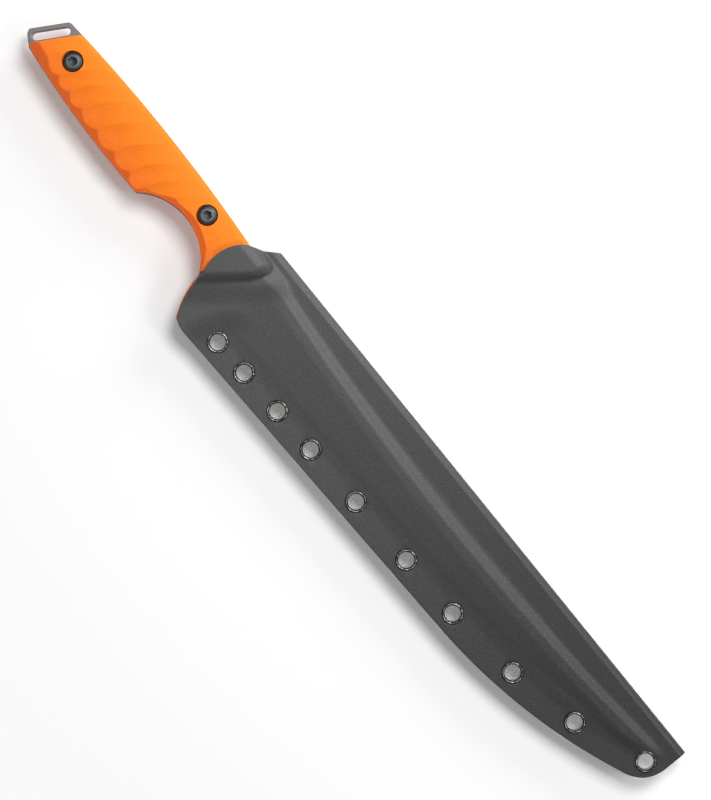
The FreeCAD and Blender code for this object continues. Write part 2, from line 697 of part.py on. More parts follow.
def guard_pocket(name, gap, half_height):
    """Room or outer form over the thin tongue of the scales and the guard."""
    front = f"(scale_front_x + {gap})"
    points = [
        ("-(lip_reach + 8)", f"-(crown_drop - {gap})"),
        (front, f"-({back_drop(front)} - {gap})"),
        (front, "-(heel_drop - 6)"),
        (f"guard_front_x + {gap}", f"-(heel_drop + {gap} / 2)"),
        (f"-guard_nose_x + {gap}", f"-(guard_nose_drop + {gap})"),
        (f"-guard_nose_x + {gap}", f"-{OUTER_DROP}"),
        ("-(lip_reach + 8)", f"-{OUTER_DROP}"),
    ]
    return block(name, points, half_height)


def heel_pocket(name, gap, below, half_height):
    """Room or outer form over the full-thickness steel in front of the guard."""
    points = [
        ("-nape_x", f"-(nape_drop - {gap})"),
        (f"heel_x + {gap}", f"-({spine_drop(0)} - {gap})"),
        (f"heel_x + {gap}", f"-(heel_drop + {below})"),
        ("-nape_x", f"-(heel_drop + {below})"),
    ]
    return block(name, points, half_height)


def sheath_outline():
    """Plan of the trimmed sheath: fold, toe, riveted edge and the mouth cut to follow the handle."""
    start, mid = f"({SHEATH_END} - toe_start_x)", f"({SHEATH_END} - toe_mid_x)"
    toe = f"({SHEATH_END} - toe_heel_x)"
    toe_low = f"({POINT_DROP} + seam_at_point)"
    return [
        (SHEATH_END, "0"),
        (SHEATH_END, "-toe_flat"),
        (toe, f"-{toe_low}", f"{SHEATH_END} - toe_shoulder_x", "-toe_shoulder_drop"),
        (start, f"-{toe_drop(start)}", mid, f"-{toe_drop(mid)}"),
        ("mouth_corner_x", f"-{MOUTH_DROP}"),
        (
            "-mouth_low_x",
            f"-({MOUTH_DROP} - mouth_low_rise)",
            "-mouth_round_x",
            f"-({MOUTH_DROP} - mouth_round_rise)",
        ),
        ("-lip_low_x", "-lip_low_drop", "-lip_mid_x", "-lip_mid_drop"),
        ("-lip_high_x", "-lip_high_drop", "-lip_reach", "-lip_reach_drop"),
        ("-mouth_notch", "-mouth_notch"),
        ("0", "0"),
    ]


def rivet_places():
    """Centres of the ten hollow rivets, from the mouth to the toe."""
    fourth, eighth = "(rivet_2_x + 2 * rivet_pitch)", f"({SHEATH_END} - rivet_8_x)"
    straight = ["rivet_1_x", "rivet_2_x", "(rivet_2_x + rivet_pitch)", fourth]
    straight += [f"({fourth} + rivet_{n}_share * ({eighth} - {fourth}))" for n in (5, 6, 7)]
    places = [(x, f"-({seam_drop(x)} - rivet_inset)") for x in straight]
    for x in (eighth, f"({SHEATH_END} - rivet_9_x)"):
        places.append((x, f"-({toe_drop(x)} - rivet_inset)"))
    places.append((f"({SHEATH_END} - rivet_10_x)", f"-({POINT_DROP} + rivet_10_rise)"))
    return places


def make_sheath():
    """One sheet folded over the spine and pressed round the knife, trimmed, and drilled for its rivets."""
    press = new_body("pressed_form")
    shell_sections(press, "press_loft", press_section)
    outer = doc.addObject("Part::MultiFuse", "outer_form")
    outer.Shapes = [
        press,
        round_front(grip_pocket("grip_form", WALL, GRIP_BLOCK), GRIP_BLOCK, "block_round"),
        guard_pocket("guard_form", WALL, GUARD_BLOCK),
        heel_pocket("heel_form", f"({WALL} + heel_relief)", "seam_start", STOCK_BLOCK),
    ]
    trimmed = doc.addObject("Part::Common", "trimmed_form")
    trimmed.Base = outer
    trimmed.Tool = block("trim_outline", sheath_outline(), f"({GRIP_BLOCK} + 2)")
    room = new_body("blade_room")
    shell_sections(room, "room_loft", room_section)
    drill = new_body("rivet_drill")
    circles = sketch_on(drill, "XY_Plane", "rivet_circles")
    for x, y in rivet_places():
        draw_circle(circles, x, y, "rivet_bore / 2 + rivet_wall + rivet_gap")
    pad(drill, circles, f"2 * {GRIP_BLOCK}", both_ways=True)
    shell = trimmed
    for tool in (
        room,
        heel_pocket("heel_room", "(knife_gap + heel_relief)", "knife_gap", STOCK_ROOM),
        guard_pocket("guard_room", "knife_gap", GUARD_ROOM),
        grip_pocket("grip_room", "knife_gap", GRIP_ROOM),
        drill,
    ):
        cut = doc.addObject("Part::Cut", f"shell_less_{tool.Name}")
        cut.Base = shell
        cut.Tool = tool
        doc.recompute()
        if cut.Shape.common(tool.Shape).Volume > 0.01 or cut.Shape.Volume > shell.Shape.Volume - 1:
            raise RuntimeError(f"{tool.Name} isn't cut out of the sheath")
        shell = cut
    shell.Label = "sheath_shell"
    place(shell)
    return shell


def make_rivet(label, x, y):
    """A hollow rivet: a thin barrel through both layers with a rolled flange at each end."""
    body = new_body(label)
    section = sketch_on(body, "XZ_Plane", f"{label}_section")
    bore, barrel = "rivet_bore / 2", "(rivet_bore / 2 + rivet_wall)"
    flange = "rivet_flange / 2"
    seat, top = SEAM_FACE, f"({SEAM_FACE} + rivet_roll)"
    crest = f"({bore} + {flange}) / 2"
    draw(
        section,
        [
            (barrel, f"-{seat}"),
            (barrel, seat),
            (flange, seat),
            (bore, seat, crest, top),
            (bore, f"-{seat}"),
            (flange, f"-{seat}", crest, f"-{top}"),
        ],
    )
    turned = body.newObject("PartDesign::Revolution", f"{label}_turned")
    turned.Profile = section
    turned.ReferenceAxis = (section, ["V_Axis"])
    turned.Angle = 360
    place(body, x, y)
    return body


# ---- the whole part -----------------------------------------------------------------------------
pieces = [make_blade(), make_scale("front_scale", 1), make_scale("back_scale", -1)]
for name, bolt in zip(("front", "rear"), BOLTS):
    pieces.append(make_screw(f"{name}_handle_screw", bolt))
    pieces.append(make_post(f"{name}_handle_post", bolt))
pieces.append(make_sheath())
for number, (rivet_x, rivet_y) in enumerate(rivet_places(), start=1):
    pieces.append(make_rivet(f"sheath_rivet_{number:02d}", rivet_x, rivet_y))
doc.recompute()

for item in doc.Objects:
    if "Invalid" in item.State or "Error" in item.State:
        raise RuntimeError(f"{item.Label} failed: {item.State}")
os.makedirs("parts", exist_ok=True)
for piece in pieces:
    shape = piece.Shape
    if shape.isNull() or not shape.isValid() or not shape.Solids:
        raise RuntimeError(f"{piece.Label} has no valid solid")
    shape.exportStep(os.path.join("parts", piece.Label + ".step"))
    box = shape.BoundBox
    print(piece.Label, len(shape.Solids), round(shape.Volume, 2), [round(v, 2) for v in (box.XMin, box.XMax, box.YMin, box.YMax, box.ZMin, box.ZMax)])
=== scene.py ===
"""The looks of a long fixed-blade knife, seated in its folded and riveted sheath.

Shapes are drawn in millimetres from one datum: x runs from the sheath's mouth towards the toe, y is 0 at
the fold and negative towards the cutting edge, and z is 0 in the middle of the blade. new_piece() then
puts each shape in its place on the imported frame.
"""

import cmath
import math

import bmesh
import bpy
import numpy as np
from mathutils import Matrix, Vector


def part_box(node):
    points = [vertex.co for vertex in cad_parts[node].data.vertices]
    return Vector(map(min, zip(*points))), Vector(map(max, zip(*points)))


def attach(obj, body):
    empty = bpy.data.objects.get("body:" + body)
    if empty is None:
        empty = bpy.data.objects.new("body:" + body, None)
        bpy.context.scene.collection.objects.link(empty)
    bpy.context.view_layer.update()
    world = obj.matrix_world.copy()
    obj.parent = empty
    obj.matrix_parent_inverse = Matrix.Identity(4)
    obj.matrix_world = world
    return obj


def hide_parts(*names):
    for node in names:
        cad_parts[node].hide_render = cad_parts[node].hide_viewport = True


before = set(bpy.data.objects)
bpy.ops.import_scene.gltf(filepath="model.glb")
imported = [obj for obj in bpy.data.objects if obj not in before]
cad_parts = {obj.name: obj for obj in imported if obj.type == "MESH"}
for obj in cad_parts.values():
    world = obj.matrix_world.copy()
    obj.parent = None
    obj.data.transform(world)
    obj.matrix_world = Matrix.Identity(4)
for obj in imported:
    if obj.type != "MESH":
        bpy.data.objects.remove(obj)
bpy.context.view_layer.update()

# ---- where things are ---------------------------------------------------------------------------
MM = 0.001
SHEATH_END = 241.0
sheath_low, sheath_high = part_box("sheath_shell")
DATUM = Vector(
    (
        sheath_high[0] - SHEATH_END * MM,
        sheath_high[1],
        (sheath_low[2] + sheath_high[2]) / 2,
    )
)
TO_PLACE = Matrix.Translation(DATUM) @ Matrix.Scale(MM, 4)


def middle_of(node):
    """The middle of a CAD node's box, in millimetres from the datum."""
    low, high = (Vector(corner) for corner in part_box(node))
    return ((low + high) / 2 - DATUM) / MM


# ---- small sums ---------------------------------------------------------------------------------
def clamp(t):
    return np.clip(t, 0.0, 1.0)


def ramp(t):
    """0 to 1 with a soft start and a soft end."""
    t = clamp(t)
    return t * t * (3 - 2 * t)


def mix(a, b, t):
    return a + (b - a) * t


def bow(start, via, end, count=40):
    """Points along the arc that leads from start through via to end."""
    a, b, c = (complex(*p) for p in (start, via, end))
    ratio = (c - a) / (b - a)
    centre = (b - a) * (ratio - abs(ratio) ** 2) / (2j * ratio.imag) + a
    sweep, passed = (cmath.phase((p - centre) / (a - centre)) for p in (c, b))
    if sweep * passed < 0 or abs(passed) > abs(sweep):
        sweep -= math.copysign(2 * math.pi, sweep)
    points = (centre + (a - centre) * cmath.rect(1, sweep * i / count) for i in range(count + 1))
    return [(p.real, p.imag) for p in points]


class Outline:
    """A drawn line that can be walked along by a share of its length."""

    def __init__(self, *stretches):
        points = [p for stretch in stretches for p in stretch]
        kept = [points[0]]
        for p in points[1:]:
            if math.dist(p, kept[-1]) > 1e-6:
                kept.append(p)
        self.points = np.array(kept)
        steps = np.hypot(*np.diff(self.points, axis=0).T)
        self.shares = np.concatenate(([0], np.cumsum(steps))) / steps.sum()

    def at(self, share):
        """x and y at shares of the length."""
        return tuple(np.interp(share, self.shares, self.points[:, k]) for k in (0, 1))

    def x_where(self, y):
        """x where the line, which only falls, has the height y."""
        return np.interp(-y, -self.points[:, 1], self.points[:, 0])

    def distance(self, x, y):
        """How far points lie from the line."""
        near = np.full(x.shape, np.inf)
        for (x0, y0), (x1, y1) in zip(self.points[:-1], self.points[1:]):
            dx, dy = x1 - x0, y1 - y0
            t = clamp(((x - x0) * dx + (y - y0) * dy) / (dx * dx + dy * dy))
            near = np.minimum(near, np.hypot(x - x0 - t * dx, y - y0 - t * dy))
        return near


def laid_between(top, bottom, left, right, u, v):
    """Lays a square patch between four outlines that meet at their ends (u along, v from top down)."""
    places = []
    for k in (0, 1):
        down = mix(top.at(u)[k], bottom.at(u)[k], v)
        along = mix(left.at(v)[k], right.at(v)[k], u)
        upper = mix(top.points[0][k], top.points[-1][k], u)
        lower = mix(bottom.points[0][k], bottom.points[-1][k], u)
        places.append(down + along - mix(upper, lower, v))
    return places


# ---- making pieces ------------------------------------------------------------------------------
def new_piece(bm, name, finish, body, stands_for, crease):
    """Makes a shape drawn from the datum a piece that rides on a body and stands for CAD nodes.

    Edges that turn by more than crease degrees are shaded sharp, unless crease is 0.
    """
    bmesh.ops.recalc_face_normals(bm, faces=bm.faces)
    bmesh.ops.transform(bm, matrix=TO_PLACE, verts=bm.verts)
    mesh = bpy.data.meshes.new(name)
    bm.to_mesh(mesh)
    bm.free()
    mesh.materials.append(finish)
    mesh.shade_smooth()
    if crease:
        mesh.set_sharp_from_angle(angle=math.radians(crease))
    piece = bpy.data.objects.new(name, mesh)
    bpy.context.scene.collection.objects.link(piece)
    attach(piece, body)
    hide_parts(*stands_for)
    return piece


def plane_net(columns, rows):
    """A flat net of faces, with the share along and the share down of each of its corners."""
    bm = bmesh.new()
    bmesh.ops.create_grid(bm, x_segments=columns, y_segments=rows, size=1.0)
    place = np.array([v.co[:2] for v in bm.verts])
    return bm, (place[:, 0] + 1) / 2, (place[:, 1] + 1) / 2


def set_places(bm, x, y, z):
    for vert, px, py, pz in zip(bm.verts, x, y, z):
        vert.co = (px, py, pz)


def pushed_out(co, centre, radius):
    """A point moved along its ray from a centre until it is a radius away, at its own height."""
    share = radius / math.hypot(co.x - centre[0], co.y - centre[1])
    return Vector((mix(centre[0], co.x, share), mix(centre[1], co.y, share), co.z))


def open_round_holes(bm, centres, radius):
    """Opens round holes through a net, with their rims on true circles."""
    rim_reach = radius * 1.6
    for cx, cy in centres:
        inside = [v for v in bm.verts if math.hypot(v.co.x - cx, v.co.y - cy) < radius]
        bmesh.ops.delete(bm, geom=inside, context="VERTS")
    for edge in bm.edges:
        if not edge.is_boundary:
            continue
        for vert in edge.verts:
            for cx, cy in centres:
                if math.hypot(vert.co.x - cx, vert.co.y - cy) < rim_reach:
                    vert.co = pushed_out(vert.co, (cx, cy), radius)


def carry_edges(bm, edges, move):
    """Extrudes edges and moves the new corners; returns the new edges."""
    made = bmesh.ops.extrude_edge_only(bm, edges=edges)["geom"]
    for vert in (g for g in made if isinstance(g, bmesh.types.BMVert)):
        vert.co = move(vert.co)
    return [g for g in made if isinstance(g, bmesh.types.BMEdge)]


def to_level(height):
    """A move for carry_edges: straight up or down to a height."""
    return lambda co: Vector((co.x, co.y, height))


def turned(profile, steps, centre=(0, 0)):
    """A profile of (radius, height) points turned once round its own axis."""
    bm = bmesh.new()
    verts = [bm.verts.new((r, 0, z)) for r, z in profile]
    edges = [bm.edges.new(pair) for pair in zip(verts[:-1], verts[1:])]
    bmesh.ops.spin(
        bm,
        geom=verts + edges,
        cent=(0, 0, 0),
        axis=(0, 0, 1),
        angle=2 * math.pi,
        steps=steps,
        use_merge=True,
    )
    bmesh.ops.remove_doubles(bm, verts=bm.verts, dist=1e-4)
    bmesh.ops.translate(bm, vec=(*centre, 0), verts=bm.verts)
    return bm


# ---- finishes -----------------------------------------------------------------------------------
class Number:
    """A socket that can be used in sums: each sum adds its Math nodes."""

    def __init__(self, finish, socket):
        self.finish, self.socket = finish, socket

    def _sum(self, operation, *terms):
        made = self.finish.node("Math", {"operation": operation}, dict(enumerate(terms)))
        return Number(self.finish, made.outputs[0])

    def __add__(self, other):
        return self._sum("ADD", self, other)

    __radd__ = __add__

    def __sub__(self, other):
        return self._sum("SUBTRACT", self, other)

    def __rsub__(self, other):
        return self._sum("SUBTRACT", other, self)

    def __mul__(self, other):
        return self._sum("MULTIPLY", self, other)

    __rmul__ = __mul__

    def __truediv__(self, other):
        return self._sum("DIVIDE", self, other)

    def __pow__(self, other):
        return self._sum("POWER", self, other)

    def __abs__(self):
        return self._sum("ABSOLUTE", self)

    def wave(self):
        return self._sum("SINE", self)

    def part(self):
        return self._sum("FRACT", self)

    def least(self, other):
        return self._sum("MINIMUM", self, other)

    def most(self, other):
        return self._sum("MAXIMUM", self, other)

    def between(self, low, high):
        """0 at low and 1 at high, with soft ends."""
        made = self.finish.node(
            "MapRange",
            {"interpolation_type": "SMOOTHSTEP"},
            {"Value": self, "From Min": low, "From Max": high},
        )
        return Number(self.finish, made.outputs[0])


class Finish:
    """A material in the making."""

    def __init__(self, name):
        self.material = bpy.data.materials.new(name)
        self.material.use_nodes = True
        self.tree = self.material.node_tree
        self.tree.nodes.clear()
        self.place = self.node("TexCoord").outputs["Object"]

    def node(self, kind, settings=None, sockets=None):
        """Adds a node: its settings first, then the values or links of its sockets."""
        made = self.tree.nodes.new("ShaderNode" + kind)
        for key, value in (settings or {}).items():
            setattr(made, key, value)
        for key, value in (sockets or {}).items():
            value = value.socket if isinstance(value, Number) else value
            if isinstance(value, bpy.types.NodeSocket):
                self.tree.links.new(value, made.inputs[key])
            else:
                made.inputs[key].default_value = value
        return made

    def axis(self, name):
        """The object's own x, y or z, in metres."""
        return Number(self, self.node("SeparateXYZ", None, {0: self.place}).outputs[name])

    def lift(self):
        """How far a point lies from the middle of the blade, up or down, in millimetres."""
        return abs(self.axis("Z") - DATUM.z) / MM

    def noise(self, per_mm, detail=2.0, rough=0.5, squash=(1, 1, 1)):
        """Noise with about per_mm features to the millimetre, around 0.5."""
        scaled = self.node("Mapping", None, {"Vector": self.place, "Scale": squash}).outputs[0]
        made = self.node(
            "TexNoise",
            None,
            {"Vector": scaled, "Scale": per_mm / MM, "Detail": detail, "Roughness": rough},
        )
        return Number(self, made.outputs[0])

    def cells(self, per_mm):
        """Distance to the nearest of scattered points, in cells."""
        made = self.node(
            "TexVoronoi",
            {"feature": "F1"},
            {"Vector": self.place, "Scale": per_mm / MM},
        )
        return Number(self, made.outputs["Distance"])

    def blend(self, factor, first, second):
        """Two colours, or colour sockets, mixed by a factor."""
        first, second = ((*c, 1) if isinstance(c, tuple) else c for c in (first, second))
        made = self.node("Mix", {"data_type": "RGBA"}, {0: factor, 6: first, 7: second})
        return made.outputs[2]

    def bump(self, height, depth_mm, strength):
        sockets = {"Height": height, "Distance": depth_mm * MM, "Strength": strength}
        return self.node("Bump", None, sockets).outputs[0]

    def done(self, **sockets):
        """Puts the shader on and gives back the material."""
        names = {key.replace("_", " ").title(): value for key, value in sockets.items()}
        names = {("IOR" if key == "Ior" else key): value for key, value in names.items()}
        shader = self.node("BsdfPrincipled", None, names)
        self.node("OutputMaterial", None, {"Surface": shader.outputs[0]})
        return self.material


def moulded_sheet_finish():
    """Dark grey thermoplastic with a fine pebble, with painted light: paler towards the mouth and darker
    towards the toe.
    """
    finish = Finish("moulded_sheet")
    pebble = finish.cells(1.7) * 0.6 + finish.noise(2.6, 3.0, 0.6) * 0.8
    cloud = finish.noise(0.05, 3.0)
    fleck = finish.noise(1.1, 2.0).between(0.35, 0.7)
    tone = fleck * 0.6 + cloud * 0.4
    # painted light: the sheet is painted paler towards the mouth and darker towards the toe, as the
    # lamps' light falls off along it
    toe_painted_shade = finish.blend(tone, (0.0238, 0.0238, 0.0238), (0.0345, 0.0345, 0.0345))
    mouth_painted_light = finish.blend(tone, (0.054, 0.054, 0.054), (0.0745, 0.0745, 0.0745))
    colour = finish.blend(finish.axis("X").between(170 * MM, -80 * MM), toe_painted_shade, mouth_painted_light)
    rough = 0.4 + finish.noise(0.9, 2.0) * 0.08 + cloud * 0.06
    return finish.done(
        base_color=colour, roughness=rough, ior=1.5, normal=finish.bump(pebble, 0.09, 0.7)
    )


FACE_LAMINATE = (0.97, 0.19, 0.003), (1.0, 0.27, 0.008)
# the cut faces' own colour, which also gives the painted shade towards the belly
CUT_FACE_AND_BELLY_SHADE = (1.0, 0.135, 0.014), (1.0, 0.195, 0.032)
RESIN_FLECK = (1.0, 0.42, 0.12)
THREAD, LAYER = 0.85 * MM, 0.34 * MM


def composite_finish(name, low, high):
    """Bright orange glass-cloth laminate, milled and blasted: weave, layer lines and resin flecks, with
    painted shade towards the belly.
    """
    finish = Finish(name)
    x, y, z = (finish.axis(k) for k in "XYZ")
    warp = (x * (2 * math.pi / THREAD)).wave()
    weft = (y * (2 * math.pi / THREAD)).wave()
    weave = warp * weft * 0.5 + 0.5
    layers = (z * (1 / LAYER) + finish.noise(0.09, 2.0) * 0.8).part()
    layers = abs(layers - 0.5) * 2
    grain = finish.noise(2.2, 3.0, 0.7)
    fleck = finish.noise(0.9, 2.0, 0.6).between(0.62, 0.78)
    mottle = weave * 0.3 + layers * 0.3 + grain * 0.4
    # painted shade: redder and darker towards the belly, which tilts away from the light
    belly_painted_shade = finish.blend(
        y.between(9.5 * MM, -2 * MM) * 0.5,
        finish.blend(mottle, low, high),
        finish.blend(mottle, *CUT_FACE_AND_BELLY_SHADE),
    )
    colour = finish.blend(fleck * 0.35, belly_painted_shade, RESIN_FLECK)
    rough = 0.6 + grain * 0.15 - fleck * 0.1
    height = weave * 0.35 + grain * 0.9 + layers * 0.2
    return finish.done(
        base_color=colour, roughness=rough, ior=1.35, normal=finish.bump(height, 0.035, 0.6)
    )


def satin_steel_finish():
    """Blasted and tumbled steel: grey, with fine pits and faint crossing scratches."""
    finish = Finish("satin_steel")
    pits = finish.noise(3.0, 4.0, 0.65)
    drawn = finish.noise(0.5, 4.0, 0.7, squash=(0.12, 2.0, 2.0))
    crossed = finish.noise(0.5, 4.0, 0.7, squash=(2.0, 0.12, 2.0))
    cloud = finish.noise(0.08, 2.0)
    tone = pits * 0.4 + drawn * 0.3 + crossed * 0.3
    colour = finish.blend(tone, (0.2, 0.2, 0.203), (0.3, 0.3, 0.303))
    rough = 0.36 + pits * 0.12 + cloud * 0.1
    height = pits * 0.6 + drawn * 0.4 + crossed * 0.4
    return finish.done(
        base_color=colour, metallic=1.0, roughness=rough, normal=finish.bump(height, 0.012, 0.5)
    )


def black_oxide_finish():
    """Black oxide on turned steel, with worn patches at random, a painted highlight on the flat ring
    round the socket, and painted shade down the dome and in the socket.
    """
    finish = Finish("black_oxide")
    grain = finish.noise(3.5, 3.0, 0.6)
    lift = finish.lift()
    # painted highlight: the flat ring on top of the head is painted greyer, where the light catches it
    ring = lift.between(HEAD_SEAT + 2.0, HEAD_SEAT + 2.06)
    # painted shade: darker down the side of the dome and black at the floor of the socket
    painted_shade_low_down = lift.between(6.0, 5.0)
    # worn patches at random, plus the painted highlight and the painted shade
    wear_and_painted_light = finish.noise(0.7, 2.0).between(0.45, 0.75) * 0.3 + ring * 0.7 - painted_shade_low_down
    colour = finish.blend(wear_and_painted_light + grain * 0.2, (0.062, 0.065, 0.069), (0.17, 0.175, 0.18))
    rough = 0.42 + grain * 0.15
    return finish.done(
        base_color=colour, metallic=0.7, roughness=rough, normal=finish.bump(grain, 0.01, 0.4)
    )


def aged_rivet_finish():
    """Dark antiqued metal, worn paler in patches on the crest of the roll, partly as a painted highlight,
    with a painted reflection on the inner wall of its hole.
    """
    finish = Finish("aged_rivet")
    lift = finish.lift()
    crest = lift.between(2.6, 2.77)
    # painted reflection: the inner wall of the hole is painted pale
    painted_reflection_in_bore = 1 - lift.between(1.8, 2.15)
    patch = finish.noise(0.9, 3.0, 0.65)
    # the crest is paler in patches: partly wear, partly a painted highlight
    wear_and_painted_light = crest * (0.2 + patch.between(0.45, 0.62) * 0.7)
    dark = finish.blend(patch, (0.008, 0.007, 0.006), (0.035, 0.03, 0.026))
    worn_and_highlit_metal = finish.blend(patch, (0.3, 0.28, 0.25), (0.68, 0.64, 0.58))
    outside = finish.blend(wear_and_painted_light.least(1.0), dark, worn_and_highlit_metal)
    colour = finish.blend(painted_reflection_in_bore, outside, (0.62, 0.6, 0.57))
    rough = 0.26 + patch * 0.25
    return finish.done(
        base_color=colour, metallic=1.0, roughness=rough, normal=finish.bump(patch, 0.03, 0.4)
    )


# ---- the knife's lines under the sheet ----------------------------------------------------------
HEEL, POINT = 8.0, 231.0
LEDGE_CORNER = (1.2, -11.0)
LEDGE_RUN, LEDGE_FALL = 16.2, 19.3


def spine_drop(share):
    """How far the spine lies below the fold, at shares of the way from the heel to the point."""
    return 14.8 - 6.4 * ((share - 0.49) / 0.51) ** 2


def edge_drop(share):
    """How far the cutting edge lies below the fold."""
    return 33.2 - 6.2 * share - 18.2 * np.maximum(share, 0) ** 5


def past_ledge(x, y):
    """How far points lie past the slanting end of the grip."""
    x_past, y_past = x - LEDGE_CORNER[0], LEDGE_CORNER[1] - y
    return (x_past * LEDGE_FALL + y_past * LEDGE_RUN) / math.hypot(LEDGE_RUN, LEDGE_FALL)


# ---- the sheath's sheet -------------------------------------------------------------------------
FOLD = 2.8  # how far the turn of the fold reaches in from the edge
FOLD_ROWS = 0.15  # the share of the net's rows that lies in the turn
SHEET_WALL = 1.75
RIVET_HOLE = 3.5

# heights of the sheet's outside over the middle of the blade; a pair is towards the mouth, then the toe
FOLD_HEIGHT = 2.9, 2.2
FLAT_HEIGHT = 3.85, 2.95
EDGE_HEIGHT = 2.5
FLANGE = 2.1
GUARD_HEIGHT, BESIDE_GRIP_HEIGHT = 4.5, 5.8
GRIP_HEIGHT = 9.17

# the relief over the blade, measured down from the fold, the spine or the edge
STRIP_FALL, STRIP_WIDTH = 0.28, 7
CLIMB_BEFORE_SPINE = 4.3, 3.1
CLIMB_WIDTH = 5.1, 4.1
FLAT_WIDTH = 4.2
LEAST_GRIND = 4.0
FOOT_PAST_EDGE = -2.2, 0.4
FOOT_WIDTH = 7.0
NARROW_FROM = 150  # x where the relief starts to change towards the toe
EMPTY_FROM, EMPTY_WIDTH = 225, 15  # x where the sheath starts to close past the blade's point

# the pocket over the grip: where each side of it ends, and how wide the shoulder is there
POCKET_BACK, BACK_SHOULDER = -4.6, 5.8
POCKET_NOSE, NOSE_SHOULDER = 3.5, 5.0
POCKET_FRONT, FRONT_SHOULDER = 2.9, 3.3

mouth_line = Outline(
    [(0, 0), (-4.4, -4.4), (-10, -8)],
    bow((-10, -8), (-14.3, -18.4), (-12, -27.4)),
    bow((-12, -27.4), (-10, -37.6), (-6.1, -44.9)),
    bow((-6.1, -44.9), (-3.4, -46.6), (1, -47.1), 60)[:31],
)
LOWER_START = tuple(mouth_line.points[-1])
seam_line = Outline(
    [LOWER_START],
    bow(LOWER_START, (-1.3, -47.0), (1, -47.1), 12),
    bow((150, -42.0), (195, -35.4), (231.5, -23.1)),
    bow((231.5, -23.1), (235.6, -20.9), (238.6, -17.9), 16),
)
toe_line = Outline(
    [(SHEATH_END, -FOLD)],
    [(SHEATH_END, -9.0)],
    bow((SHEATH_END, -9.0), (240.5, -13.6), (238.6, -17.9), 24),
)
mouth_below_fold = Outline(
    [(-FOLD, -FOLD)],
    [tuple(p) for p in mouth_line.points if p[1] < -FOLD - 0.1],
)
fold_line = Outline([(-FOLD, -FOLD), (SHEATH_END, -FOLD)])


def fold_height(x):
    """Half the thickness of the sheath along its fold: it is pinched towards the toe."""
    return mix(*FOLD_HEIGHT, clamp(x / SHEATH_END))


def height_over_blade(x, drop):
    """The relief: a strip along the fold, a climb to the blade's flat, its grind, then the flange."""
    share = np.clip((x - HEEL) / (POINT - HEEL), 0, 1.05)
    spine, edge = spine_drop(share), edge_drop(share)
    strip = fold_height(x) - STRIP_FALL * clamp((drop - FOLD) / STRIP_WIDTH)
    grind_width = np.maximum(edge - spine - LEAST_GRIND, LEAST_GRIND)
    into_grind = clamp((drop - spine - FLAT_WIDTH) / grind_width)
    over_grind = mix(mix(*FLAT_HEIGHT, share), EDGE_HEIGHT, into_grind)
    foot_start = edge + mix(*FOOT_PAST_EDGE, ramp((x - NARROW_FROM) / 55))
    closed = mix(over_grind, FLANGE, ramp((drop - foot_start) / FOOT_WIDTH))
    toeward = ramp((x - NARROW_FROM) / 50)
    climb_start = spine - mix(*CLIMB_BEFORE_SPINE, toeward)
    climb = clamp((drop - climb_start) / mix(*CLIMB_WIDTH, toeward))
    full = mix(strip, closed, ramp(climb**1.35))
    empty = mix(strip, FLANGE, ramp((drop - 3) / 12))
    return mix(full, empty, ramp((x - EMPTY_FROM) / EMPTY_WIDTH))


def with_guard_pocket(height, x, y):
    """Lifts the sheet over the guard, most of all beside the grip."""
    drop = -y
    guard_front = np.interp(drop, [0, 26, 33, 44.5], [4.5, 4.0, 0.5, -3.0])
    over_guard = ramp(1 - (x - guard_front) / 12) * ramp((drop - 4.0) / 7.5)
    beside_grip = ramp(1 - (past_ledge(x, y) - 3.4) / 9)
    return mix(height, mix(GUARD_HEIGHT, BESIDE_GRIP_HEIGHT, beside_grip), over_guard)


def with_grip_pocket(height, x, y):
    """Lifts the sheet over the grip: round shouldered, with a slanting front and a blunt nose."""
    to_front = POCKET_FRONT - past_ledge(x, y) - 0.03 * (x + 5) - 0.037 * (y + 17)
    inward = (
        (POCKET_BACK - y) / BACK_SHOULDER,
        (POCKET_NOSE - x) / NOSE_SHOULDER,
        to_front / FRONT_SHOULDER,
    )
    away = sum((1 - clamp(share)) ** 3 for share in inward) ** (1 / 3)
    round_over = np.sqrt(np.maximum(1 - away**2, 0))
    shoulder = mix(ramp(1 - away), round_over * ramp((1 - away) / 0.2), 0.6)
    return mix(height, GRIP_HEIGHT, shoulder)


def make_sheet(finish):
    """The one folded sheet: a net laid round the fold, pressed, opened for the rivets and thickened."""
    bm, u, down = plane_net(240, 140)
    u = u - 0.075 * np.sin(2 * np.pi * u)  # closer columns at the mouth and the toe
    side = np.where(down >= 0.5, 1.0, -1.0)
    w = np.abs(down * 2 - 1)
    turn = clamp(w / FOLD_ROWS) * np.pi / 2
    y_turn = -FOLD * (1 - np.cos(turn))
    x_turn = mix(mouth_line.x_where(y_turn), SHEATH_END, u)
    v = clamp((w - FOLD_ROWS) / (1 - FOLD_ROWS)) ** 1.3  # closer rows beside the fold
    x_flat, y_flat = laid_between(fold_line, seam_line, mouth_below_fold, toe_line, u, v)
    in_turn = w <= FOLD_ROWS
    x = np.where(in_turn, x_turn, x_flat)
    y = np.where(in_turn, y_turn, y_flat)
    pressed = with_grip_pocket(with_guard_pocket(height_over_blade(x, -y), x, y), x, y)
    z = np.where(in_turn, fold_height(x) * np.sin(turn), pressed)
    set_places(bm, x, y, z * side)
    open_round_holes(bm, [middle_of(node)[:2] for node in rivet_nodes], RIVET_HOLE)
    piece = new_piece(bm, "folded_sheet", finish, "sheath", ["sheath_shell"], 0)
    wall = piece.modifiers.new("wall", "SOLIDIFY")
    wall.thickness = SHEET_WALL * MM
    wall.offset = -1
    soft = piece.modifiers.new("broken_edges", "BEVEL")
    soft.width = 0.3 * MM
    soft.segments = 2
    soft.limit_method = "ANGLE"
    soft.angle_limit = math.radians(60)


